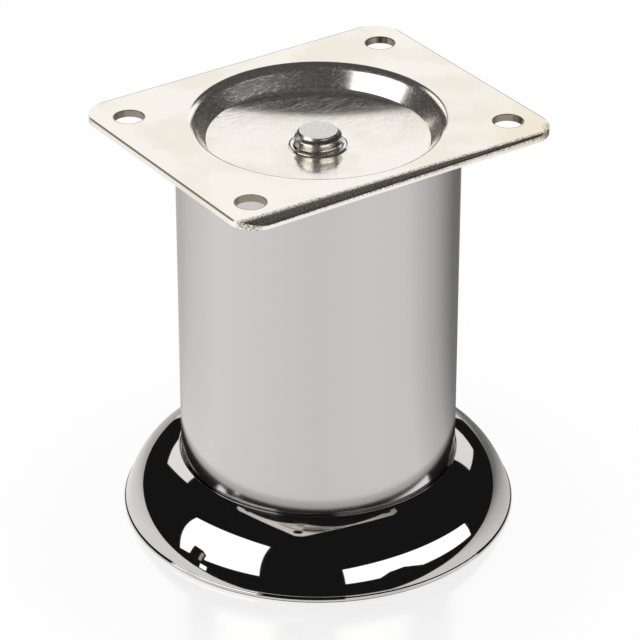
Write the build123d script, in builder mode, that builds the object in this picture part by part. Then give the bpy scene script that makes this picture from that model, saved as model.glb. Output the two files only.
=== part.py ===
# Chromed furniture leg: one long bolt clamps a tube between a pressed mounting plate and a bell foot.
# Millimetres, +Z up. The origin is on the bolt's axis at the floor, and the plate's long side runs along X.

from build123d import *
import os
from math import atan2, cos, degrees, pi, radians, tan

os.makedirs("parts", exist_ok=True)

# Tube
tube_radius = 30.0
tube_wall = 1.2
tube_length = 79.0

# Mounting plate
plate_length = 78.0
plate_width = 64.0
plate_sheet = 1.6
corner_radius = 6.0
edge_bevel = 0.3
hole_diameter = 6.4
hole_inset_x = 7.0
hole_inset_y = 9.0
hole_bevel = 0.25

# Dish pressed into the plate, which drops into the tube
dish_clearance = 1.6
dish_wall_lean = 33.0
dish_wall_depth = 4.2
dish_bowl_depth = 2.0
dish_flat_share = 0.4
dish_lip_radius = 2.9
dish_lip_margin = 1.0

# Threaded collar drawn down out of the dish's floor, with a bead round its mouth
thread_radius = 5.0
thread_clearance = 0.05
collar_wall = 1.5
collar_drop = 4.0
collar_root_bevel = 1.0
bead_width = 0.6
bead_height = 0.45
bead_bevel = 0.2

# Bell foot
foot_sheet = 1.0
foot_flare = 12.5
rim_height = 0.9
rim_lean = 18.0
flank_height = 7.3
flank_bend = 15.0
shoulder_width = 3.75
shoulder_bend = 23.5
shoulder_slope = 20.0
crest_rise = 2.0
crest_radius = 0.5
seat_height = 12.0
seat_clearance = 0.35
bolt_clearance = 0.25

# Glide ring under the rim
glide_lip = 0.5
glide_lip_inset = 0.4
glide_clearance = 0.5
glide_width = 5.5
glide_height = 1.8

# Bolt and washer
bolt_end_depth = 2.6
tip_radius = 4.03
head_across_flats = 17.0
head_height = 6.4
head_face_ratio = 0.95
head_chamfer_angle = 30.0
washer_radius = 10.0
washer_thickness = 2.0

# Levels that follow from the sizes above
plate_underside = seat_height + tube_length
plate_top = plate_underside + plate_sheet
dish_crease = plate_top - dish_wall_depth
dish_floor = dish_crease - dish_bowl_depth
dish_underside = dish_floor - plate_sheet
collar_bottom = dish_underside - collar_drop
washer_top = seat_height - foot_sheet
head_top = washer_top - washer_thickness
head_bottom = head_top - head_height
bolt_end = plate_top - bolt_end_depth

# Spacing and radii that follow from the sizes above
hole_spacing_x = plate_length - 2 * hole_inset_x
hole_spacing_y = plate_width - 2 * hole_inset_y
dish_lean = radians(dish_wall_lean)
dish_room = tube_radius - tube_wall - dish_clearance
dish_radius = dish_room + plate_sheet * tan(dish_lean) - plate_sheet / cos(dish_lean)
crease_radius = dish_radius - dish_wall_depth * tan(dish_lean)
tapped_radius = thread_radius + thread_clearance
bolt_hole_radius = thread_radius + bolt_clearance
seat_radius = tube_radius + seat_clearance
rim_radius = seat_radius + foot_flare


def full_circles(part, radius):
    """The part's whole circular edges of one radius, lowest first."""
    circles = part.edges().filter_by(GeomType.CIRCLE)
    alike = circles.filter_by(lambda e: abs(e.length - 2 * pi * radius) < 0.01)
    return alike.sort_by(Axis.Z)


def round_with_flats(section, corner, turn, radius, flats=3):
    """Round one corner of a section, which turns by so many degrees, with one or three flats round a circle."""
    first_cut = radius * (tan(radians(turn / 2)) - tan(radians(turn / 4)))
    chamfer(section.vertices().sort_by_distance(corner)[0], length=first_cut)
    if flats == 3:
        second_cut = radius * (tan(radians(turn / 4)) - tan(radians(turn / 8)))
        chamfer(section.vertices().sort_by_distance(corner)[:2], length=second_cut)


# Mounting plate, pressed from one sheet
with BuildPart(Plane.XY.offset(plate_top)) as mounting_plate:
    # The flat sheet with its rounded corners and eased edges
    with BuildSketch(Plane.XY.offset(plate_underside)):
        RectangleRounded(plate_length, plate_width, corner_radius)
    extrude(amount=plate_sheet)
    underside_edges = mounting_plate.edges().group_by(Axis.Z)[0]
    top_edges = mounting_plate.edges().group_by(Axis.Z)[-1]
    chamfer(underside_edges + top_edges, length=edge_bevel)

    # The sheet is opened where the dish's lip bends down
    lip_start = dish_radius + dish_lip_radius + dish_lip_margin
    with BuildSketch(Plane.XY.offset(plate_underside)):
        Circle(lip_start)
    extrude(amount=plate_sheet, mode=Mode.SUBTRACT)

    # The dish's upper face: a leaning wall, a crease and a shallow bowl with a flat middle, thickened by the sheet
    with BuildSketch(Plane.XZ) as dish_section:
        with BuildLine():
            Polyline(
                (lip_start, plate_top),
                (dish_radius, plate_top),
                (crease_radius, dish_crease),
                (crease_radius * dish_flat_share, dish_floor),
                (0, dish_floor),
            )
            offset(amount=plate_sheet, side=Side.LEFT, kind=Kind.INTERSECTION)
        make_face()
        round_with_flats(dish_section, (dish_radius, plate_top), 90 - dish_wall_lean, dish_lip_radius)
    revolve(axis=Axis.Z)

    # The collar hangs from the floor's underside
    with BuildSketch(Plane.XY.offset(collar_bottom)):
        Circle(tapped_radius + collar_wall)
    extrude(amount=dish_floor - collar_bottom)
    chamfer(full_circles(mounting_plate, tapped_radius + collar_wall)[-1], length=collar_root_bevel)

    # The bead that tapping raised round the mouth
    with BuildSketch(Plane.XY.offset(dish_floor)):
        Circle(tapped_radius + bead_width)
    extrude(amount=bead_height)
    chamfer(full_circles(mounting_plate, tapped_radius + bead_width)[-1], length=bead_bevel)
    Hole(tapped_radius)

    # Four screw holes, their edges eased where the punch went in
    with GridLocations(hole_spacing_x, hole_spacing_y, 2, 2):
        Hole(hole_diameter / 2)
    chamfer(full_circles(mounting_plate, hole_diameter / 2)[-4:], length=hole_bevel)
mounting_plate.part.label = "mounting_plate"
export_step(mounting_plate.part, "parts/mounting_plate.step")


# Tube, cut square at both ends
with BuildPart() as leg_tube:
    with BuildSketch(Plane.XY.offset(seat_height)):
        Circle(tube_radius)
        Circle(tube_radius - tube_wall, mode=Mode.SUBTRACT)
    extrude(amount=tube_length)
leg_tube.part.label = "leg_tube"
export_step(leg_tube.part, "parts/leg_tube.step")


# Corners of the foot's outer face, where its straight stretches would meet if they weren't bent
rim_corner = (rim_radius, glide_lip + rim_height)
flank_radius = rim_radius - (flank_height - rim_height) * tan(radians(rim_lean))
flank_corner = (flank_radius, glide_lip + flank_height)
crest_corner = (seat_radius, seat_height + crest_rise)
shoulder_drop = shoulder_width * tan(radians(shoulder_slope))
shoulder_corner = (seat_radius + shoulder_width, seat_height + crest_rise - shoulder_drop)
middle_slope = degrees(atan2(shoulder_corner[1] - flank_corner[1], flank_corner[0] - shoulder_corner[0]))
flank_turn = 90 - rim_lean - middle_slope

# Bell foot, one pressed shell: rim, flared flank, rolled crest round the tube, and the flat seat inside it
with BuildPart() as bell_foot:
    with BuildSketch(Plane.XZ) as foot_section:
        with BuildLine():
            Polyline(
                (rim_radius, glide_lip),
                rim_corner,
                flank_corner,
                shoulder_corner,
                crest_corner,
                (seat_radius, seat_height),
                (bolt_hole_radius, seat_height),
            )
            offset(amount=foot_sheet, side=Side.LEFT, kind=Kind.INTERSECTION)
        make_face()
        fillet(foot_section.vertices().sort_by_distance(flank_corner)[0], radius=flank_bend)
        round_with_flats(foot_section, shoulder_corner, middle_slope - shoulder_slope, shoulder_bend)

        # With the flank's outer corner rounded, the nearest one left is the inner face's
        round_with_flats(foot_section, flank_corner, flank_turn, flank_bend - foot_sheet, flats=1)
        round_with_flats(foot_section, crest_corner, 90 + shoulder_slope, crest_radius, flats=1)
    revolve(axis=Axis.Z)
bell_foot.part.label = "bell_foot"
export_step(bell_foot.part, "parts/bell_foot.step")


# Glide ring: a plastic band inside the rim, with a lip that the rim's edge stands on
with BuildPart() as glide_ring:
    band_radius = rim_radius - foot_sheet - glide_clearance
    with BuildSketch(Plane.XY):
        Circle(rim_radius - glide_lip_inset)
        Circle(band_radius - glide_width, mode=Mode.SUBTRACT)
    extrude(amount=glide_lip)
    with BuildSketch(Plane.XY.offset(glide_lip)):
        Circle(band_radius)
        Circle(band_radius - glide_width, mode=Mode.SUBTRACT)
    extrude(amount=glide_height - glide_lip)
glide_ring.part.label = "glide_ring"
export_step(glide_ring.part, "parts/glide_ring.step")


# Washer between the bolt's head and the foot
with BuildPart() as bolt_washer:
    with BuildSketch(Plane.XY.offset(head_top)):
        Circle(washer_radius)
        Circle(bolt_hole_radius, mode=Mode.SUBTRACT)
    extrude(amount=washer_thickness)
bolt_washer.part.label = "bolt_washer"
export_step(bolt_washer.part, "parts/bolt_washer.step")


# Tie bolt: a hex head under the foot and a long shank up to its end in the dish
with BuildPart() as tie_bolt:
    with BuildSketch(Plane.XY.offset(head_bottom)):
        RegularPolygon(head_across_flats / 2, 6, major_radius=False)
    extrude(amount=head_height)

    # The head's corners are turned off towards its outer face
    corner_reach = head_across_flats / 2 / cos(radians(30))
    face_radius = head_across_flats / 2 * head_face_ratio
    corner_drop = (corner_reach - face_radius) * tan(radians(head_chamfer_angle))
    with BuildSketch(Plane.XZ):
        with BuildLine():
            Polyline(
                (0, head_bottom),
                (face_radius, head_bottom),
                (corner_reach, head_bottom + corner_drop),
                (corner_reach, head_top),
                (0, head_top),
                close=True,
            )
        make_face()
    revolve(axis=Axis.Z, mode=Mode.INTERSECT)

    # The shank, chamfered at its end
    with BuildSketch(Plane.XY.offset(head_top)):
        Circle(thread_radius)
    extrude(amount=bolt_end - head_top)
    chamfer(full_circles(tie_bolt, thread_radius)[-1], length=thread_radius - tip_radius)
tie_bolt.part.label = "tie_bolt"
export_step(tie_bolt.part, "parts/tie_bolt.step")
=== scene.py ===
# %% [markdown]
# # A chromed furniture leg
#
# The leg has six pieces. A thin steel tube stands in a pressed bell foot, a pressed plate with a dish
# closes its top, and one long bolt pulls the three together. A washer sits under the bolt's head, and a
# plastic ring keeps the foot's edge off the floor.
#
# Polished metal has almost no colour of its own. What the eye sees is the room, bent by the metal's
# shape. So this lesson spends its effort on two things: smooth, exact shapes, and a studio worth
# mirroring.

# %% Load the fixed frame
from math import cos, hypot, pi, radians, sin, tan

import bpy
from mathutils import Matrix, Vector


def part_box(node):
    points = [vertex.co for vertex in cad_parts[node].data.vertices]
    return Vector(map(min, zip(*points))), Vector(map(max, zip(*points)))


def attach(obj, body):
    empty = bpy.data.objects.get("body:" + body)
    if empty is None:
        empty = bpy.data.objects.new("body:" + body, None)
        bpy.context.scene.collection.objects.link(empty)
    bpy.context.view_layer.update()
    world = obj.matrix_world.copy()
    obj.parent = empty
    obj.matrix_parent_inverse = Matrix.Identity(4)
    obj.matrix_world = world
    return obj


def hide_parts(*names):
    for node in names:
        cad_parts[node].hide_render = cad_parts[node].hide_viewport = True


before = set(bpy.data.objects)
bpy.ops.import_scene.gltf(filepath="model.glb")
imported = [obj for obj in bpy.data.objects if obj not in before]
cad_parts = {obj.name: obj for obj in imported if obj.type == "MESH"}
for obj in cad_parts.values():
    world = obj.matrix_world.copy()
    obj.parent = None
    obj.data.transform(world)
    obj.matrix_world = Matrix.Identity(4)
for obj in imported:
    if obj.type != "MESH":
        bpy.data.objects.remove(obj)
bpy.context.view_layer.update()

# %% [markdown]
# ## Sizes
#
# Blender works in metres here, and a maker thinks in millimetres, so one helper converts. The levels come
# from the solid pieces themselves: each new piece then sits where the solid one does.

# %% Sizes read from the solid pieces
MM = 0.001


def node_size(node):
    """Lowest corner and highest corner of a solid piece, in millimetres."""
    low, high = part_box(node)
    return low / MM, high / MM


plate_low, plate_high = node_size("mounting_plate")
tube_low, tube_high = node_size("leg_tube")
foot_low, foot_high = node_size("bell_foot")
ring_low, ring_high = node_size("glide_ring")
washer_low, washer_high = node_size("bolt_washer")
bolt_low, bolt_high = node_size("tie_bolt")

plate_top = plate_high.z
tube_radius = tube_high.x
rim_radius = foot_high.x
print("plate top, tube radius, rim radius:", [round(v, 2) for v in (plate_top, tube_radius, rim_radius)])

# %% [markdown]
# ## Helpers for modelling
#
# Operators act on whatever is selected, and loading the frame leaves the solid pieces selected. So each
# new piece starts by clearing the selection. Faces and edges are then picked by a test on their place or
# direction, which is the script's way of clicking on them.

# %% Clear, pick and finish
SELECT_MODES = {
    "vertices": (True, False, False),
    "edges": (False, True, False),
    "polygons": (False, False, True),
}


def clear_selection():
    """Leaves edit mode and deselects every object."""
    if bpy.context.object and bpy.context.object.mode != "OBJECT":
        bpy.ops.object.mode_set(mode="OBJECT")
    bpy.ops.object.select_all(action="DESELECT")


def pick(piece):
    """Selects one object alone and makes it the active one."""
    clear_selection()
    piece.select_set(True)
    bpy.context.view_layer.objects.active = piece


def edit_where(piece, kind, test):
    """Opens the piece in edit mode with only those of its parts selected that pass the test."""
    pick(piece)
    for parts in (piece.data.vertices, piece.data.edges, piece.data.polygons):
        parts.foreach_set("select", [False] * len(parts))
    for item in getattr(piece.data, kind):
        item.select = test(item)
    bpy.context.tool_settings.mesh_select_mode = SELECT_MODES[kind]
    bpy.ops.object.mode_set(mode="EDIT")


def apply_modifier(piece, kind, **settings):
    """Adds a modifier with its settings and applies it."""
    modifier = piece.modifiers.new(kind.title(), kind)
    for name, value in settings.items():
        setattr(modifier, name, value)
    pick(piece)
    bpy.ops.object.modifier_apply(modifier=modifier.name)


def smooth_by_angle(piece, angle):
    """Smooth shading everywhere, apart from edges sharper than the angle."""
    pick(piece)
    bpy.ops.object.shade_smooth_by_angle(angle=radians(angle))


def place_applied(piece):
    """Moves the object's place, turn and scale into its mesh."""
    pick(piece)
    bpy.ops.object.transform_apply(location=True, rotation=True, scale=True)


def combine(piece, other, operation):
    """Cuts away, keeps or adds another closed shape, which is then deleted."""
    apply_modifier(piece, "BOOLEAN", object=other, operation=operation, solver="EXACT")
    pick(other)
    bpy.ops.object.delete()


def seat(piece, node):
    """Puts a finished piece in the place of its solid one."""
    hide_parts(node)
    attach(piece, "root")
    print(piece.name, "has", len(piece.data.polygons), "faces")


# %% [markdown]
# ## Helpers for spun pieces
#
# The foot, the dish, the ring and the washer are round, so each is a section turned about the leg's axis.
# The section is a Bezier curve, because polished metal shows every kink: two arcs that only touch leave a
# visible break in the reflections, and a Bezier bends gently all the way. Each station is a radius, a
# height, the heading of the curve there in degrees, and how far its handles pull before and after it. No
# pull makes a straight line.

# %% Draw a section and spin it
SPIN_STEPS = 256
SECTION_STEPS = 14


def draw_section(name, stations):
    """A section in the XZ plane as a bare mesh line, with the spare points on its straights dissolved."""
    clear_selection()
    bpy.ops.curve.primitive_bezier_curve_add(enter_editmode=False)
    curve = bpy.context.object
    curve.name = name
    spline = curve.data.splines[0]
    spline.resolution_u = SECTION_STEPS
    spline.bezier_points.add(len(stations) - 2)
    for point, (radius, height, heading, pull_before, pull_after) in zip(spline.bezier_points, stations):
        place = Vector((radius, 0, height)) * MM
        ahead = Vector((cos(radians(heading)), 0, sin(radians(heading)))) * MM
        point.handle_left_type = point.handle_right_type = "FREE"
        point.co = place
        point.handle_left = place - ahead * pull_before
        point.handle_right = place + ahead * pull_after
    bpy.ops.object.convert(target="MESH")
    section = bpy.context.object
    edit_where(section, "vertices", lambda vertex: True)
    bpy.ops.mesh.remove_doubles(threshold=0.001 * MM)
    bpy.ops.mesh.select_all(action="SELECT")
    bpy.ops.mesh.dissolve_limited(angle_limit=radians(0.05))
    bpy.ops.object.mode_set(mode="OBJECT")
    return section


def spin_section(section):
    """Turns the section once round the leg's axis and closes the seam."""
    edit_where(section, "vertices", lambda vertex: True)
    bpy.ops.mesh.spin(steps=SPIN_STEPS, angle=2 * pi, center=(0, 0, 0), axis=(0, 0, 1))
    bpy.ops.mesh.select_all(action="SELECT")
    bpy.ops.mesh.remove_doubles(threshold=0.002 * MM)
    bpy.ops.mesh.normals_make_consistent(inside=False)
    bpy.ops.object.mode_set(mode="OBJECT")
    place_applied(section)


def arc_pull(radius, turn):
    """How far a Bezier handle reaches to draw an arc of that radius and turn."""
    return 4 / 3 * tan(radians(turn) / 4) * radius


def straight(radius, height):
    """A station with straight lines on both its sides."""
    return (radius, height, 0, 0, 0)


# %% [markdown]
# ## Bell foot
#
# The foot is one round of 1 mm sheet, pressed in a die. From the floor up it has a tiny turned-out lip, a
# flank that leans in and rounds over, a tight crest that hugs the tube, and a flat seat hidden inside.
# Its lip and crest bend tighter than the sheet is thick, so a Solidify modifier would fold its inner
# side. Both faces of the sheet are drawn instead, as one closed section.

# %% Spin the bell foot
foot_sheet = 1.0
lip_land = 0.25
lip_radius = 0.55
lip_turn = 60.0
lip_end_pull = 0.15
flank_start = (42.40, 1.50)
flank_lean = 18.0
flank_start_pull = 0.12
flank_pull = 5.8
shoulder_pull = 7.5
shoulder_slope = 20.0
crest_radius = 0.3
crest_gap = 0.15
crest_rise = 1.845
bolt_hole_radius = 5.25

# The flank and the shoulder once more, on the sheet's inner face
under_crest_gap = 1.35
under_shoulder_height = 12.63
under_shoulder_pull = 6.7
under_flank = (41.62, 1.40)
under_flank_pull = 5.45

seat_height = tube_low.z
crest_height = seat_height + crest_rise
seat_radius = tube_radius + crest_gap
inner_radius = tube_radius + under_crest_gap
foot_bottom = foot_low.z

lip_middle = foot_bottom + lip_land
lip_end = (
    rim_radius - lip_radius * (1 - cos(radians(lip_turn))),
    lip_middle + lip_radius * sin(radians(lip_turn)),
)
crest_middle = (seat_radius + crest_radius, crest_height - crest_radius)
crest_start = (
    crest_middle[0] + crest_radius * sin(radians(shoulder_slope)),
    crest_middle[1] + crest_radius * cos(radians(shoulder_slope)),
)
lip_pull = arc_pull(lip_radius, lip_turn)
crest_pull = arc_pull(crest_radius, shoulder_slope)
inner_pull = arc_pull(crest_radius, 90)

bell_foot = draw_section("bell_foot_shell", [
    straight(rim_radius, foot_bottom),
    (rim_radius, lip_middle, 90, 0, lip_pull),
    (*lip_end, 90 + lip_turn, lip_pull, lip_end_pull),
    (*flank_start, 90 + flank_lean, flank_start_pull, flank_pull),
    (*crest_start, 180 - shoulder_slope, shoulder_pull, crest_pull),
    (crest_middle[0], crest_height, 180, crest_pull, inner_pull),
    (seat_radius, crest_middle[1], 270, inner_pull, 0),
    straight(seat_radius, seat_height),
    straight(bolt_hole_radius, seat_height),
    straight(bolt_hole_radius, seat_height - foot_sheet),
    straight(inner_radius, seat_height - foot_sheet),
    (inner_radius, under_shoulder_height, -shoulder_slope, 0, under_shoulder_pull),
    (*under_flank, 270 + flank_lean, under_flank_pull, 0),
    straight(rim_radius - foot_sheet, foot_bottom),
    straight(rim_radius, foot_bottom),
])
spin_section(bell_foot)
smooth_by_angle(bell_foot, 50)
seat(bell_foot, "bell_foot")

# %% [markdown]
# ## Tube
#
# The tube is plain: 60 mm across with a 1.2 mm wall, cut square. Its ends are deburred, which leaves a
# tiny bevel that catches light where the tube meets the foot. An open cylinder gets its wall with
# Solidify and its deburred ends with Bevel.

# %% Build the tube
tube_wall = 1.2
deburr = 0.15

clear_selection()
bpy.ops.mesh.primitive_cylinder_add(
    vertices=SPIN_STEPS,
    radius=tube_radius * MM,
    depth=(tube_high.z - tube_low.z) * MM,
    end_fill_type="NOTHING",
    location=(0, 0, (tube_high.z + tube_low.z) / 2 * MM),
)
leg_tube = bpy.context.object
leg_tube.name = "leg_tube_polished"
place_applied(leg_tube)
apply_modifier(leg_tube, "SOLIDIFY", thickness=tube_wall * MM, offset=-1, use_even_offset=True)
apply_modifier(
    leg_tube, "BEVEL", width=deburr * MM, segments=3, limit_method="ANGLE", angle_limit=radians(60)
)
smooth_by_angle(leg_tube, 40)
seat(leg_tube, "leg_tube")

# %% [markdown]
# ## Glide ring and washer
#
# Both hide under the foot. The ring is moulded plastic: a band inside the rim, and a thin lip that the
# rim stands on. The washer is stamped from sheet. Each is a small closed section with its edges broken by
# a bevel, because neither a mould nor a punch leaves a perfectly sharp corner.

# %% Spin the ring and the washer
band_radius = 41.35
band_height = 1.8
ring_inner_radius = 35.85
ring_lip_radius = ring_high.x
broken_edge = 0.12

glide_ring = draw_section("glide_ring_moulded", [
    straight(ring_inner_radius, ring_low.z),
    straight(ring_lip_radius, ring_low.z),
    straight(ring_lip_radius, foot_bottom),
    straight(band_radius, foot_bottom),
    straight(band_radius, band_height),
    straight(ring_inner_radius, band_height),
    straight(ring_inner_radius, ring_low.z),
])
washer = draw_section("washer_stamped", [
    straight(bolt_hole_radius, washer_low.z),
    straight(washer_high.x, washer_low.z),
    straight(washer_high.x, washer_high.z),
    straight(bolt_hole_radius, washer_high.z),
    straight(bolt_hole_radius, washer_low.z),
])
for piece, node, slot in ((glide_ring, "glide_ring", "ring_plastic"), (washer, "bolt_washer", "bolt_zinc")):
    spin_section(piece)
    apply_modifier(
        piece, "BEVEL", width=broken_edge * MM, segments=2, limit_method="ANGLE", angle_limit=radians(60)
    )
    smooth_by_angle(piece, 40)
    seat(piece, node)

# %% [markdown]
# ## Mounting plate: the flat sheet
#
# The plate is pressed from 1.6 mm sheet. Its corners are rounded, and the shear that cut its front edge
# dragged the metal down, more at one corner than at the other. That roll makes the dark band along the
# edge, and the nickel's colour adds painted shade to it further on. It is cut here with three planes, each
# steeper than the one before, and the shading rounds them together.

# %% Cut the sheet and roll its front edge
plate_sheet = 1.6
corner_radius = 6.0
corner_steps = 14
roll_width_front = 4.0
roll_width_right = 1.2
roll_steps = [(1.0, 6), (0.65, 11), (0.3, 18)]
half_length = plate_high.x
half_width = plate_high.y

clear_selection()
bpy.ops.mesh.primitive_cube_add(
    size=1,
    location=(0, 0, (plate_top - plate_sheet / 2) * MM),
    scale=(2 * half_length * MM, 2 * half_width * MM, plate_sheet * MM),
)
plate = bpy.context.object
plate.name = "mounting_plate_pressed"
place_applied(plate)


def upright(edge):
    """Whether an edge of the sheet stands upright."""
    ends = [plate.data.vertices[index].co for index in edge.vertices]
    return abs(ends[0].z - ends[1].z) > 0.5 * MM


edit_where(plate, "edges", upright)
bpy.ops.mesh.bevel(offset=corner_radius * MM, segments=corner_steps, affect="EDGES")
bpy.ops.object.mode_set(mode="OBJECT")

drops = [0.0, 0.0]
widths = [roll_width_front, roll_width_right]
for step, (share, tilt) in enumerate(roll_steps):
    ends = [
        Vector((side * half_length, -half_width + share * width, plate_top - drop))
        for side, width, drop in zip((-1, 1), widths, drops)
    ]
    along = (ends[1] - ends[0]).normalized()
    outward = Vector((along.y, -along.x, 0)).normalized()
    slope = outward * cos(radians(tilt)) - Vector((0, 0, sin(radians(tilt))))
    edit_where(plate, "vertices", lambda vertex: True)
    bpy.ops.mesh.bisect(
        plane_co=ends[0] * MM, plane_no=slope.cross(along).normalized(), use_fill=True, clear_outer=True
    )
    bpy.ops.object.mode_set(mode="OBJECT")
    next_share = roll_steps[step + 1][0] if step + 1 < len(roll_steps) else 0.0
    drops = [drop + (share - next_share) * width * tan(radians(tilt)) for drop, width in zip(drops, widths)]
print("front edge drops by", [round(drop, 2) for drop in drops], "mm")

# %% [markdown]
# ## Holes and opening
#
# Four screw holes are punched near the corners. The middle is opened too, where the dish will join. The
# cutter for the opening has as many sides as the dish has spin steps, so that the two rims meet vertex on
# vertex.

# %% Punch the holes and open the middle
hole_radius = 3.2
hole_x = 32.0
hole_y = 23.0
hole_sides = 64
opening_radius = 28.9
cutter_height = 10.0
eased_edge = 0.28
cutters = [(x, y, hole_radius, hole_sides) for x in (-hole_x, hole_x) for y in (-hole_y, hole_y)]
cutters.append((0, 0, opening_radius, SPIN_STEPS))

for x, y, radius, sides in cutters:
    clear_selection()
    bpy.ops.mesh.primitive_cylinder_add(
        vertices=sides, radius=radius * MM, depth=cutter_height * MM,
        location=(x * MM, y * MM, plate_top * MM),
    )
    combine(plate, bpy.context.object, "DIFFERENCE")


def opening_wall(face):
    """Whether a face belongs to the upright wall that the cutter left round the opening."""
    return abs(face.normal.z) < 0.1 and hypot(face.center.x, face.center.y) < (opening_radius + 0.05) * MM


edit_where(plate, "polygons", opening_wall)
bpy.ops.mesh.delete(type="FACE")
bpy.ops.object.mode_set(mode="OBJECT")
apply_modifier(
    plate, "BEVEL", width=eased_edge * MM, segments=3, limit_method="ANGLE", angle_limit=radians(35)
)
print("flat sheet:", len(plate.data.polygons), "faces")

# %% [markdown]
# ## The dish and its threaded collar
#
# The press pushed the middle of the sheet down into a steep wall, a sharp crease and a very shallow bowl.
# A collar for the bolt's thread was then drawn down out of the floor, and tapping raised a small bead
# round its mouth. The section follows the upper face inwards, goes down the tapped hole and comes back
# along the underside.

# %% Spin the dish
wall_lean = 35.0
wall_depth = 4.2
crease_radius = 23.5
under_crease_radius = 24.42
bowl_depth = 2.0
dish_lip_radius = 2.9
tapped_radius = 5.05
collar_radius = 6.55
collar_root = 1.0
collar_root_pull = 0.6
bead_foot_radius = 6.4

# What follows from those sizes
wall_turn = 90 - wall_lean
wall_top_radius = crease_radius + wall_depth * tan(radians(wall_lean))
under_lip_radius = dish_lip_radius - plate_sheet
lip_start_radius = wall_top_radius + dish_lip_radius * tan(radians(wall_turn / 2))
crease_height = plate_top - wall_depth
floor_height = crease_height - bowl_depth
bowl_radius = (crease_radius ** 2 + bowl_depth ** 2) / (2 * bowl_depth)
collar_bottom = plate_low.z
bead_shoulder = (5.95, floor_height + 0.36)
bead_crown = (5.65, floor_height + 0.45)
bead_mouth = (tapped_radius, floor_height + 0.1)


def bowl_station(radius, sphere, depth, outward, before, after):
    """A station on the bowl, whose pulls are a third of the way to its neighbour."""
    height = floor_height - depth + radius ** 2 / (2 * sphere)
    slope = radius / sphere * 180 / pi
    return (radius, height, slope if outward else 180 + slope, before, after)


wall_side = (cos(radians(wall_lean)), sin(radians(wall_lean)))
lip_height = plate_top - dish_lip_radius
third = (crease_radius - bead_foot_radius) / 3
dish = draw_section("dish_spun", [
    straight(opening_radius, plate_top),
    (lip_start_radius, plate_top, 180, 0, arc_pull(dish_lip_radius, wall_turn)),
    (lip_start_radius - dish_lip_radius * wall_side[0], lip_height + dish_lip_radius * wall_side[1],
     180 + wall_turn, arc_pull(dish_lip_radius, wall_turn), 0),
    bowl_station(crease_radius, bowl_radius, 0, False, 0, third),
    bowl_station(bead_foot_radius, bowl_radius, 0, False, third, 0),
    (*bead_shoulder, 130, 0.2, 0.15),
    (*bead_crown, 180, 0.15, 0.15),
    (*bead_mouth, 270, 0.2, 0),
    straight(tapped_radius, collar_bottom),
    straight(collar_radius, collar_bottom),
    (collar_radius, floor_height - plate_sheet - collar_root, 90, 0, collar_root_pull),
    bowl_station(
        collar_radius + collar_root, bowl_radius + plate_sheet, plate_sheet, True, collar_root_pull, third
    ),
    bowl_station(under_crease_radius, bowl_radius + plate_sheet, plate_sheet, True, third, 0),
    (lip_start_radius - under_lip_radius * wall_side[0], lip_height + under_lip_radius * wall_side[1],
     wall_turn, 0, arc_pull(under_lip_radius, wall_turn)),
    (lip_start_radius, plate_top - plate_sheet, 0, arc_pull(under_lip_radius, wall_turn), 0),
    straight(opening_radius, plate_top - plate_sheet),
])
spin_section(dish)
print("dish:", len(dish.data.polygons), "faces")

# %% [markdown]
# ## Join and shade the plate
#
# The dish and the sheet become one mesh, merged along the opening. The flat face would pick up a false
# curve from the rounded edges beside it, so a Weighted Normal modifier lets the large faces decide how
# the light falls.

# %% Merge the dish into the sheet
clear_selection()
dish.select_set(True)
plate.select_set(True)
bpy.context.view_layer.objects.active = plate
bpy.ops.object.join()
edit_where(plate, "vertices", lambda vertex: True)
bpy.ops.mesh.remove_doubles(threshold=0.01 * MM)
bpy.ops.mesh.select_all(action="SELECT")
bpy.ops.mesh.fill_holes(sides=0)
bpy.ops.mesh.select_all(action="SELECT")
bpy.ops.mesh.normals_make_consistent(inside=False)
bpy.ops.mesh.select_all(action="DESELECT")
bpy.ops.mesh.select_non_manifold()
bpy.ops.object.mode_set(mode="OBJECT")
print("open edges left in the plate:", sum(edge.select for edge in plate.data.edges))

# %% Shade the plate
smooth_by_angle(plate, 32)
apply_modifier(plate, "WEIGHTED_NORMAL", keep_sharp=True, weight=50)
seat(plate, "mounting_plate")

# %% [markdown]
# ## Tie bolt
#
# The bolt is M10, and its thread has a pitch of 1.5 mm. Only its last two turns show in the dish, but a
# smooth rod there would look like a dowel, so the thread is modelled. One tooth of the standard profile
# is drawn and the Screw modifier winds it up. What it shares with a plain turned blank is kept, which
# cuts it to length and takes the end's corner off.

# %% Wind the thread
bolt_radius = 5.0
root_radius = 4.19
pitch = 1.5
root_end = 0.375
crest_start = 0.844
crest_end = 1.031
thread_turns = 14
thread_length = 15.0
thread_lead = 3.0
thread_top = bolt_high.z
thread_bottom = thread_top - thread_length
thread_start = thread_bottom - thread_lead
tip_radius = 4.03
blank_radius = 5.6

bolt = draw_section("tie_bolt_threaded", [
    straight(root_radius, thread_start),
    straight(root_radius, thread_start + root_end),
    straight(bolt_radius, thread_start + crest_start),
    straight(bolt_radius, thread_start + crest_end),
    straight(root_radius, thread_start + pitch),
])
place_applied(bolt)
apply_modifier(
    bolt, "SCREW", angle=2 * pi, screw_offset=pitch * MM, iterations=thread_turns,
    steps=64, render_steps=64, use_merge_vertices=False,
)
edit_where(bolt, "vertices", lambda vertex: True)
bpy.ops.mesh.remove_doubles(threshold=0.002 * MM)
bpy.ops.mesh.select_all(action="SELECT")
bpy.ops.mesh.fill_holes(sides=0)
bpy.ops.mesh.select_all(action="SELECT")
bpy.ops.mesh.normals_make_consistent(inside=False)
bpy.ops.object.mode_set(mode="OBJECT")

blank = draw_section("thread_blank", [
    straight(0, thread_bottom),
    straight(blank_radius, thread_bottom),
    straight(blank_radius, thread_top - (blank_radius - tip_radius)),
    straight(tip_radius, thread_top),
    straight(0, thread_top),
])
spin_section(blank)
combine(bolt, blank, "INTERSECT")
print("thread:", len(bolt.data.polygons), "faces")

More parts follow.
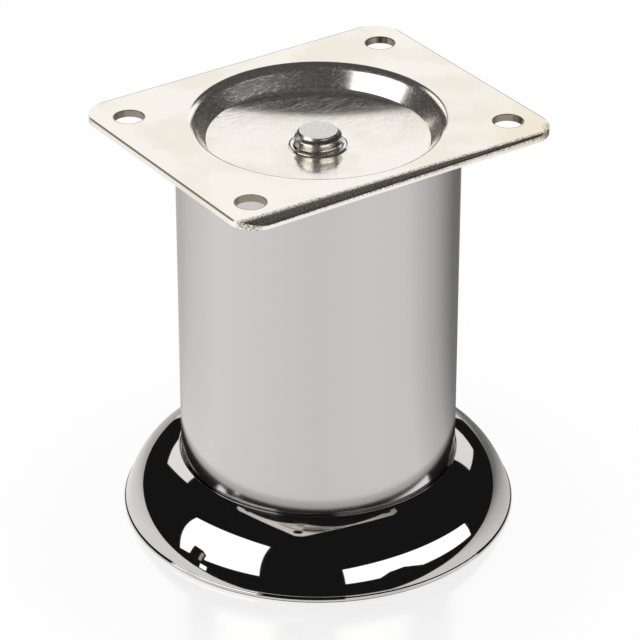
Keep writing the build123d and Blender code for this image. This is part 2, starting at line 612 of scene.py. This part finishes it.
# %% [markdown]
# The shank is a cylinder, and the head is a six-sided one whose corners are turned off by a wide cone.
# All three are then added together into one closed piece.

# %% Add the shank and the head
head_across_flats = 17.0
head_height = washer_low.z - bolt_low.z
head_face_radius = head_across_flats / 2 * 0.95
shank_overlap = 1.0
shank_ease = 0.02
shank_top = thread_bottom + shank_overlap
shank_bottom = washer_low.z - shank_overlap

clear_selection()
bpy.ops.mesh.primitive_cylinder_add(
    vertices=6, radius=head_across_flats / 2 / cos(radians(30)) * MM, depth=head_height * MM,
    location=(0, 0, (bolt_low.z + head_height / 2) * MM), rotation=(0, 0, radians(30)),
)
head = bpy.context.object
place_applied(head)
clear_selection()
bpy.ops.mesh.primitive_cone_add(
    vertices=96, radius1=head_face_radius * MM,
    radius2=(head_face_radius + head_height / tan(radians(30))) * MM,
    depth=head_height * MM, location=(0, 0, (bolt_low.z + head_height / 2) * MM),
)
combine(head, bpy.context.object, "INTERSECT")

clear_selection()
bpy.ops.mesh.primitive_cylinder_add(
    vertices=64, radius=(bolt_radius - shank_ease) * MM, depth=(shank_top - shank_bottom) * MM,
    location=(0, 0, (shank_top + shank_bottom) / 2 * MM),
)
combine(head, bpy.context.object, "UNION")
combine(bolt, head, "UNION")
edit_where(bolt, "vertices", lambda vertex: True)
bpy.ops.mesh.remove_doubles(threshold=0.002 * MM)
bpy.ops.mesh.select_all(action="SELECT")
bpy.ops.mesh.fill_holes(sides=0)
smooth_by_angle(bolt, 28)
seat(bolt, "tie_bolt")

# %% [markdown]
# ## Materials
#
# Colours are written as hex, the way a paint chart gives them, and one function turns them into the
# linear values that light is added up in. One more function adds a node with its settings and links.

# %% Colour and node helpers


def hex_colour(code):
    """Linear RGBA from an sRGB hex code."""
    channels = [int(code[i:i + 2], 16) / 255 for i in (1, 3, 5)]
    linear = [c / 12.92 if c <= 0.04045 else ((c + 0.055) / 1.055) ** 2.4 for c in channels]
    return (*linear, 1.0)


def add_node(tree, kind, links=None, **settings):
    """Adds a node, sets its properties and sockets, and links sockets to other nodes' outputs."""
    node = tree.nodes.new(kind)
    for name, value in settings.items():
        if hasattr(node, name) and not name.startswith("in_"):
            setattr(node, name, value)
        else:
            key = name.removeprefix("in_").replace("_", " ")
            node.inputs[int(key) if key.isdigit() else key].default_value = value
    for name, source in (links or {}).items():
        tree.links.new(source, node.inputs[name])
    return node


def new_material(name, colour, metallic):
    """A material with one colour on its shader, and its node tree and shader to build on."""
    material = bpy.data.materials.new(name)
    material.use_nodes = True
    shader = material.node_tree.nodes["Principled BSDF"]
    shader.inputs["Base Color"].default_value = hex_colour(colour)
    shader.inputs["Metallic"].default_value = metallic
    return material, material.node_tree, shader


def dress(piece, material):
    """Gives the piece this material alone."""
    piece.data.materials.clear()
    piece.data.materials.append(material)


# %% [markdown]
# ## Polished chrome
#
# Decorative chrome is a thin bright plating over polished steel. It reflects a bit over half of the
# light, slightly cool, and its gloss is nearly a mirror. A faint long wave in the surface, left by
# polishing belts, keeps the reflections from looking computed.

# %% Polished chrome
polish_wave = 9.0
polish_depth = 0.05


def make_chrome(name, wave_stretch, wave_height, haze_range):
    """Chrome plating with a polishing wave, stretched along Z by a factor, and a range of haze."""
    material, tree, shader = new_material(name, "#C8C5C4", 1.0)
    place = add_node(tree, "ShaderNodeTexCoord")
    stretch = add_node(
        tree, "ShaderNodeMapping", {"Vector": place.outputs["Object"]}, in_Scale=(1, 1, wave_stretch)
    )
    wave = add_node(
        tree, "ShaderNodeTexNoise", {"Vector": stretch.outputs["Vector"]},
        in_Scale=1 / (polish_wave * MM), in_Detail=2.0,
    )
    haze = add_node(
        tree, "ShaderNodeMapRange", {"Value": wave.outputs["Fac"]},
        in_To_Min=haze_range[0], in_To_Max=haze_range[1],
    )
    bump = add_node(
        tree, "ShaderNodeBump", {"Height": wave.outputs["Fac"]},
        in_Strength=wave_height, in_Distance=polish_depth * MM,
    )
    tree.links.new(haze.outputs["Result"], shader.inputs["Roughness"])
    tree.links.new(bump.outputs["Normal"], shader.inputs["Normal"])
    return material


dress(bell_foot, make_chrome("foot polished chrome plate", 1.0, 0.03, (0.02, 0.045)))
dress(leg_tube, make_chrome("tube polished chrome plate", 0.05, 0.05, (0.1, 0.16)))

# %% [markdown]
# ## Bright nickel: where things are
#
# Nickel plating is warmer than chrome and softer, so handling leaves fine scratches and small bare
# specks. Wear gathers on the rolled edge and in the dish, and the plating has yellowed at one corner.
# Painted shade darkens the punched holes, the top edges and the roll. Each of these marks starts from a
# noise, or from how far a point is from the axis, a hole, an edge or a corner.

# %% Noises and distances on the plate
speck_size = 0.35
cloud_size = 14.0
roll_slant = (roll_width_right - roll_width_front) / (2 * half_length)

# A little under fully metallic, because the fine haze on handled nickel scatters some light on every side.
nickel, tree, shader = new_material("bright nickel plate", "#F6F1E9", 0.94)
place = add_node(tree, "ShaderNodeTexCoord").outputs["Object"]
axes = add_node(tree, "ShaderNodeSeparateXYZ", {"Vector": place})
grain = add_node(tree, "ShaderNodeTexNoise", {"Vector": place}, in_Scale=1 / (speck_size * MM), in_Detail=4.0)
cloud = add_node(tree, "ShaderNodeTexNoise", {"Vector": place}, in_Scale=1 / (cloud_size * MM), in_Detail=3.0)

flat_place = add_node(tree, "ShaderNodeVectorMath", {0: place}, operation="MULTIPLY", in_1=(1, 1, 0))
from_axis = add_node(tree, "ShaderNodeVectorMath", {0: flat_place.outputs[0]}, operation="LENGTH")
quarter = add_node(tree, "ShaderNodeVectorMath", {0: flat_place.outputs[0]}, operation="ABSOLUTE")
from_hole = add_node(
    tree, "ShaderNodeVectorMath", {0: quarter.outputs[0]}, operation="DISTANCE",
    in_1=(hole_x * MM, hole_y * MM, 0),
)
past_edges = add_node(
    tree, "ShaderNodeVectorMath", {0: quarter.outputs[0]}, operation="SUBTRACT",
    in_1=(half_length * MM, half_width * MM, 0),
)
past = add_node(tree, "ShaderNodeSeparateXYZ", {"Vector": past_edges.outputs[0]})
past_edge = add_node(
    tree, "ShaderNodeMath", {0: past.outputs["X"], 1: past.outputs["Y"]}, operation="MAXIMUM"
)
past_roll = add_node(
    tree, "ShaderNodeMath", {0: axes.outputs["X"], 2: axes.outputs["Y"]}, operation="MULTIPLY_ADD",
    in_1=-roll_slant,
)
from_yellow = add_node(
    tree, "ShaderNodeVectorMath", {0: place}, operation="DISTANCE",
    in_1=(half_length * MM, -half_width * MM, plate_top * MM),
)
from_left, from_right = [
    add_node(
        tree, "ShaderNodeVectorMath", {0: flat_place.outputs[0]}, operation="DISTANCE",
        in_1=(side * half_length * MM, -half_width * MM, 0),
    )
    for side in (-1, 1)
]

# %% [markdown]
# ## Bright nickel: masks
#
# A mask is 1 where a mark is and 0 elsewhere. Each line below names a value and the two levels between
# which its mask rises from 0 to 1. Where the first level is the higher one, the mask falls instead. Two
# masks multiplied give the places that lie in both.

# %% Masks on the plate
roll_middle = -half_width + (roll_width_front + roll_width_right) / 2
mask_ranges = {
    "clouds": (cloud.outputs["Fac"], 0.45, 0.65),
    "specks": (grain.outputs["Fac"], 0.66, 0.74),
    "worn grain": (grain.outputs["Fac"], 0.66, 0.3),
    "in dish": (from_axis.outputs["Value"], 27.5 * MM, 26.0 * MM),
    "above crease": (from_axis.outputs["Value"], (crease_radius - 0.2) * MM, (crease_radius + 0.3) * MM),
    # painted shade: the ring in and round each punched hole gets a darker colour
    "hole painted shade": (from_hole.outputs["Value"], (hole_radius + 0.35) * MM, (hole_radius + 0.05) * MM),
    "yellowed": (from_yellow.outputs["Value"], 24 * MM, 3 * MM),
    "on edge": (past_edge.outputs[0], -0.25 * MM, -0.1 * MM),
    "near top": (axes.outputs["Z"], (plate_top - 0.6) * MM, (plate_top - 0.3) * MM),
    "on roll": (past_roll.outputs[0], (roll_middle + 0.1) * MM, (roll_middle - 0.5) * MM),
    "above cut": (axes.outputs["Z"], (plate_top - 1.1) * MM, (plate_top - 0.7) * MM),
    "left corner": (from_left.outputs["Value"], 4.4 * MM, 3.2 * MM),
    "right corner": (from_right.outputs["Value"], 4.4 * MM, 3.2 * MM),
}
mask_pairs = {
    "roll": ("on roll", "above cut"),
    # the roll's darker colour: painted shade over its dark band, broken by wear
    "roll shade and wear": ("roll", "worn grain"),
    # painted shade along the plate's top edges
    "edge painted shade": ("on edge", "near top"),
    "left knocks": ("left corner", "worn grain"),
    "right knocks": ("right corner", "worn grain"),
    "dish wall": ("in dish", "above crease"),
}

masks = {}
for name, (value, low, high) in mask_ranges.items():
    mask = add_node(
        tree, "ShaderNodeMapRange", {"Value": value}, label=name, interpolation_type="SMOOTHSTEP",
        in_From_Min=low, in_From_Max=high,
    )
    masks[name] = mask.outputs["Result"]
for name, (one, other) in mask_pairs.items():
    both = add_node(
        tree, "ShaderNodeMath", {0: masks[one], 1: masks[other]}, label=name, operation="MULTIPLY"
    )
    masks[name] = both.outputs[0]
print("masks on the plate:", len(masks))

# %% [markdown]
# ## Bright nickel: scratches
#
# A scratch is drawn where a stretched noise passes its middle value, which it does along thin wandering
# lines. Three such noises, each turned another way, give scratches that cross.

# %% Scratches
scratch_spacing = 1.1
scratch_runs = [(35, 0.12), (-50, 0.1), (80, 0.16)]

scratches = None
for turn, stretch in scratch_runs:
    turned = add_node(
        tree, "ShaderNodeMapping", {"Vector": place},
        in_Rotation=(0, 0, radians(turn)), in_Scale=(stretch, 1, 1),
    )
    noise = add_node(
        tree, "ShaderNodeTexNoise", {"Vector": turned.outputs["Vector"]},
        in_Scale=1 / (scratch_spacing * MM), in_Detail=3.0,
    )
    off_middle = add_node(tree, "ShaderNodeMath", {0: noise.outputs["Fac"]}, operation="SUBTRACT", in_1=0.5)
    distance = add_node(tree, "ShaderNodeMath", {0: off_middle.outputs[0]}, operation="ABSOLUTE")
    line = add_node(
        tree, "ShaderNodeMapRange", {"Value": distance.outputs[0]}, interpolation_type="SMOOTHSTEP",
        in_From_Min=0.004, in_From_Max=0.0005,
    ).outputs["Result"]
    if scratches is not None:
        line = add_node(tree, "ShaderNodeMath", {0: scratches, 1: line}, operation="MAXIMUM").outputs[0]
    scratches = line
print("scratch directions:", len(scratch_runs))

# %% [markdown]
# ## Bright nickel: colour and gloss
#
# The plating is uneven, yellowed at one corner, and worn on the roll and at the front corners. Painted
# shade darkens the punched holes, the top edges and the roll. Each of those is a layer of colour laid over
# the one before. The same masks make the metal duller where it was bent, and rougher and slightly sunken
# where it is scratched.

# %% Colour of the nickel
# Painted shade along the top edges, joined with wear where the front corners were knocked.
edge_shade_and_knocks = masks["edge painted shade"]
for name in ("left knocks", "right knocks"):
    edge_shade_and_knocks = add_node(tree, "ShaderNodeMath", {0: edge_shade_and_knocks, 1: masks[name]}, operation="MAXIMUM").outputs[0]

plating = add_node(
    tree, "ShaderNodeMix", {0: masks["clouds"]}, data_type="RGBA",
    in_6=hex_colour("#F7F2EA"), in_7=hex_colour("#F0E9DD"),
)
layers = [
    (masks["yellowed"], "#EFE6D0"),
    # painted shade in the punched holes
    (masks["hole painted shade"], "#8F867A"),
    # painted shade on the top edges, and wear at the knocked corners
    (edge_shade_and_knocks, "#7A7064"),
    # painted shade on the roll's dark band, together with wear
    (masks["roll shade and wear"], "#8A8072"),
]
for mask, colour in layers:
    plating = add_node(
        tree, "ShaderNodeMix", {0: mask, 6: plating.outputs[2]}, data_type="RGBA", in_7=hex_colour(colour)
    )
tree.links.new(plating.outputs[2], shader.inputs["Base Color"])
print("layers over the plating:", len(layers))

# %% Gloss of the nickel
haze = add_node(tree, "ShaderNodeMapRange", {"Value": cloud.outputs["Fac"]}, in_To_Min=0.06, in_To_Max=0.14)
bent = add_node(tree, "ShaderNodeMath", {0: masks["dish wall"], 1: masks["roll"]}, operation="MAXIMUM")
duller = add_node(
    tree, "ShaderNodeMath", {0: bent.outputs[0], 2: haze.outputs["Result"]},
    operation="MULTIPLY_ADD", in_1=0.08,
)
marks = add_node(tree, "ShaderNodeMath", {0: scratches, 1: masks["specks"]}, operation="MAXIMUM")
dish_marks = add_node(
    tree, "ShaderNodeMath", {0: marks.outputs[0], 1: masks["in dish"]}, operation="MULTIPLY"
)
all_marks = add_node(
    tree, "ShaderNodeMath", {0: dish_marks.outputs[0], 1: masks["roll shade and wear"]}, operation="MAXIMUM"
)
rougher = add_node(
    tree, "ShaderNodeMath", {0: all_marks.outputs[0], 2: duller.outputs[0]},
    operation="MULTIPLY_ADD", in_1=0.14,
)
tree.links.new(rougher.outputs[0], shader.inputs["Roughness"])
bump = add_node(
    tree, "ShaderNodeBump", {"Height": all_marks.outputs[0]}, invert=True,
    in_Strength=0.12, in_Distance=0.02 * MM,
)
tree.links.new(bump.outputs["Normal"], shader.inputs["Normal"])
dress(plate, nickel)

# %% [markdown]
# ## Bright zinc
#
# Bolts and washers are barrel plated with zinc, which comes out bright but slightly milky and uneven. A
# noise about as coarse as a grain of sand varies the gloss.

# %% Bright zinc
zinc, tree, shader = new_material("bright zinc plate", "#E4E2DC", 1.0)
place = add_node(tree, "ShaderNodeTexCoord").outputs["Object"]
milk = add_node(tree, "ShaderNodeTexNoise", {"Vector": place}, in_Scale=1 / (0.7 * MM), in_Detail=3.0)
gloss = add_node(tree, "ShaderNodeMapRange", {"Value": milk.outputs["Fac"]}, in_To_Min=0.18, in_To_Max=0.38)
dents = add_node(
    tree, "ShaderNodeBump", {"Height": milk.outputs["Fac"]}, in_Strength=0.2, in_Distance=0.05 * MM
)
tree.links.new(gloss.outputs["Result"], shader.inputs["Roughness"])
tree.links.new(dents.outputs["Normal"], shader.inputs["Normal"])
dress(bolt, zinc)
dress(washer, zinc)

# %% [markdown]
# ## Moulded plastic
#
# The glide ring is black polypropylene. Its mould was spark-eroded, which gives a fine even grain of
# about a third of a millimetre and a soft, wide highlight.

# %% Moulded plastic
plastic, tree, shader = new_material("black moulded polypropylene", "#131315", 0.0)
shader.inputs["IOR"].default_value = 1.49
place = add_node(tree, "ShaderNodeTexCoord").outputs["Object"]
grain = add_node(tree, "ShaderNodeTexNoise", {"Vector": place}, in_Scale=1 / (0.35 * MM), in_Detail=2.0)
gloss = add_node(tree, "ShaderNodeMapRange", {"Value": grain.outputs["Fac"]}, in_To_Min=0.42, in_To_Max=0.6)
pores = add_node(
    tree, "ShaderNodeBump", {"Height": grain.outputs["Fac"]}, in_Strength=0.3, in_Distance=0.04 * MM
)
tree.links.new(gloss.outputs["Result"], shader.inputs["Roughness"])
tree.links.new(pores.outputs["Normal"], shader.inputs["Normal"])
dress(glide_ring, plastic)

# %% [markdown]
# ## Studio directions
#
# The room is described by directions: how far to turn right from the camera, and how high to look. Seen
# from the leg, a flat lamp has edges that are great circles, so a direction lies inside it when it lies
# on the inner side of each edge. That test is one dot product per edge and a minimum over them.

# %% Directions in the studio
camera_turn = radians(-34.437)
toward_camera = Vector((sin(camera_turn), -cos(camera_turn), 0))
right_of_camera = Vector((cos(camera_turn), sin(camera_turn), 0))
soft_edge = 0.006


def studio_direction(turn, height):
    """A direction in the studio: turned so far right of the camera, and so high, in degrees."""
    flat = toward_camera * cos(radians(turn)) + right_of_camera * sin(radians(turn))
    return flat * cos(radians(height)) + Vector((0, 0, sin(radians(height))))


def turn_from_camera(tree, vector):
    """0 to 1 as a direction turns once round, from straight behind the leg and by way of its left side."""
    ahead = add_node(tree, "ShaderNodeVectorMath", {0: vector}, operation="DOT_PRODUCT", in_1=toward_camera)
    aside = add_node(tree, "ShaderNodeVectorMath", {0: vector}, operation="DOT_PRODUCT", in_1=right_of_camera)
    turn = add_node(
        tree, "ShaderNodeMath", {0: aside.outputs["Value"], 1: ahead.outputs["Value"]}, operation="ARCTAN2"
    )
    return add_node(tree, "ShaderNodeMapRange", {"Value": turn.outputs[0]}, in_From_Min=-pi, in_From_Max=pi)


def inside_polygon(tree, direction, corners):
    """1 inside a convex shape of directions and 0 outside it, with a narrow soft edge."""
    points = [studio_direction(*corner) for corner in corners]
    middle = sum(points, Vector())
    inner = None
    for here, there in zip(points, points[1:] + points[:1]):
        side = here.cross(there).normalized()
        if side.dot(middle) < 0:
            side = -side
        height = add_node(tree, "ShaderNodeVectorMath", {0: direction}, operation="DOT_PRODUCT", in_1=side)
        lowest = height.outputs["Value"]
        if inner is not None:
            lowest = add_node(tree, "ShaderNodeMath", {0: inner, 1: lowest}, operation="MINIMUM").outputs[0]
        inner = lowest
    mask = add_node(
        tree, "ShaderNodeMapRange", {"Value": inner}, interpolation_type="SMOOTHSTEP",
        in_From_Min=-soft_edge, in_From_Max=soft_edge,
    )
    return mask.outputs["Result"]


# %% [markdown]
# ## Table
#
# The leg stands on a pale glossy table. To the camera it is plain white with a faint mirror image close
# to the foot. To the metal it is the largest thing in the room, and it is less evenly lit than the camera
# shows, so rays that come from the metal see its brightness fall away to the sides.

# %% Table
floor_size = 6.0
shadow_share = 0.08
mirror_share = 0.13
mirror_start = 44.0
mirror_end = 90.0
table_levels = {
    -180: 1.0, -170: 0.75, -156: 0.55, -134: 0.65, -123: 0.79, -111: 0.9, -79: 1.06, -33: 1.0, 0: 0.94,
    33: 0.98, 69: 0.95, 103: 0.58, 111: 0.44, 117: 0.36, 127: 0.24, 146: 0.18, 160: 0.5, 180: 1.0,
}

clear_selection()
bpy.ops.mesh.primitive_plane_add(size=floor_size, location=(0, 0, 0))
floor = bpy.context.object
floor.name = "studio_table"

table = bpy.data.materials.new("glossy white table")
table.use_nodes = True
tree = table.node_tree
tree.nodes.clear()
spot = add_node(tree, "ShaderNodeTexCoord").outputs["Object"]
levels = add_node(tree, "ShaderNodeValToRGB", {"Fac": turn_from_camera(tree, spot).outputs["Result"]})
stops = levels.color_ramp.elements
for index, (angle, level) in enumerate(sorted(table_levels.items())):
    share = (angle + 180) / 360
    stop = stops[index] if index < 2 else stops.new(share)
    stop.position = share
    stop.color = (level, level, level, 1)
print("table levels:", len(stops))

seen_by_metal = add_node(tree, "ShaderNodeEmission", {"Color": levels.outputs["Color"]})
plain_white = add_node(tree, "ShaderNodeEmission", in_Strength=1.0)
matt_white = add_node(tree, "ShaderNodeBsdfDiffuse", in_Color=hex_colour("#FFFFFF"))
mirror = add_node(tree, "ShaderNodeBsdfGlossy", in_Roughness=0.16, in_Color=hex_colour("#FFFFFF"))
shaded = add_node(
    tree, "ShaderNodeMixShader", {1: plain_white.outputs[0], 2: matt_white.outputs[0]}, in_Fac=shadow_share
)
away = add_node(tree, "ShaderNodeVectorMath", {0: spot}, operation="LENGTH").outputs["Value"]
near = add_node(
    tree, "ShaderNodeMapRange", {"Value": away}, interpolation_type="SMOOTHSTEP",
    in_From_Min=mirror_start * MM, in_From_Max=mirror_end * MM, in_To_Min=mirror_share, in_To_Max=0.0,
)
seen_by_camera = add_node(
    tree, "ShaderNodeMixShader", {0: near.outputs["Result"], 1: shaded.outputs[0], 2: mirror.outputs[0]}
)
rays = add_node(tree, "ShaderNodeLightPath")
by_ray = add_node(
    tree, "ShaderNodeMixShader",
    {0: rays.outputs["Is Camera Ray"], 1: seen_by_metal.outputs[0], 2: seen_by_camera.outputs[0]},
)
add_node(tree, "ShaderNodeOutputMaterial", {"Surface": by_ray.outputs[0]})
floor.data.materials.append(table)

# %% [markdown]
# ## Studio
#
# The metal mirrors a dark room with four softboxes and a white backdrop behind the leg. The shapes are
# laid over each other from far to near, as a painter would: first the backdrop, then the lamps, and then
# the dark stands that cover a part of them.

# %% Softboxes, stands and backdrop
room_level = 0.012
room_shapes = [
    ("white backdrop", 1.0, [(161, -5), (-161, -5), (-165, 28), (-172, 36.5), (172, 36.5), (165, 28)]),
    ("front left softbox", 2.0, [(-101, 42), (-41.5, 57), (-33.5, 15.2), (-84.5, 5.5)]),
    ("front right softbox", 2.0, [(15, 30), (99.5, 17.5), (97.5, 3.7), (15.5, 12.2)]),
    ("rear left softbox", 1.23, [(-158, 41), (-138.5, 40), (-144, 24.5), (-162, 19)]),
    ("rear right softbox", 1.17, [(140, 25.5), (152, 31.5), (166, 29), (163, 15), (149.5, 15)]),
    ("front right stand", room_level, [(31, 9.3), (41.5, 16), (50.5, 16.4), (67, 6.5)]),
    ("front left stand", room_level, [(-77.5, 4), (-67.5, 5), (-67.5, 15), (-71, 18), (-77.5, 18)]),
    ("front left pole", 0.5, [(-71, 7), (-69, 7), (-69, 15), (-71, 15)]),
    ("front left glint", 2.0, [(-68.8, 1), (-64.4, 1), (-64.4, 4.4), (-68.8, 4.4)]),
]

world = bpy.data.worlds.new("studio")
bpy.context.scene.world = world
world.use_nodes = True
tree = world.node_tree
tree.nodes.clear()
direction = add_node(tree, "ShaderNodeTexCoord").outputs["Generated"]
dark_room = add_node(tree, "ShaderNodeValue", label="dark room")
dark_room.outputs[0].default_value = room_level
glow = dark_room.outputs[0]
for name, strength, corners in room_shapes:
    inside = inside_polygon(tree, direction, corners)
    laid_over = add_node(
        tree, "ShaderNodeMix", {0: inside, 2: glow}, label=name, data_type="FLOAT", in_3=strength
    )
    glow = laid_over.outputs[0]

for_metal = add_node(tree, "ShaderNodeBackground", {"Color": glow}, in_Strength=1.0)
plain_light = add_node(tree, "ShaderNodeBackground", in_Color=hex_colour("#FFFFFF"), in_Strength=1.0)
rays = add_node(tree, "ShaderNodeLightPath")
by_ray = add_node(
    tree, "ShaderNodeMixShader",
    {0: rays.outputs["Is Glossy Ray"], 1: plain_light.outputs[0], 2: for_metal.outputs[0]},
)
add_node(tree, "ShaderNodeOutputWorld", {"Surface": by_ray.outputs[0]})
print("shapes in the room:", len(room_shapes))

# %% [markdown]
# ## Camera
#
# The camera was fitted to the photograph's straight edges, hole centres and round outlines: a long lens,
# 30 degrees above the table and 73 cm away.

# %% Place the camera
lens_length = 189.66
aim_aside = 0.000393
aim_height = 0.044371

camera_data = bpy.data.cameras.new("camera")
camera_data.lens = lens_length
camera_data.sensor_width = 36
camera = bpy.data.objects.new("camera", camera_data)
bpy.context.collection.objects.link(camera)

camera_height = radians(29.86)
camera_roll = radians(0.055)
camera_distance = 0.725048
aim = right_of_camera * aim_aside + Vector((0, 0, aim_height))
back = toward_camera * cos(camera_height) + Vector((0, 0, sin(camera_height)))
level_up = back.cross(right_of_camera)
right = right_of_camera * cos(camera_roll) + level_up * sin(camera_roll)
up = level_up * cos(camera_roll) - right_of_camera * sin(camera_roll)
turned = Matrix((right, up, back)).transposed().to_4x4()
camera.matrix_world = Matrix.Translation(aim + back * camera_distance) @ turned
bpy.context.scene.camera = camera
bpy.context.scene.view_settings.view_transform = "Standard"
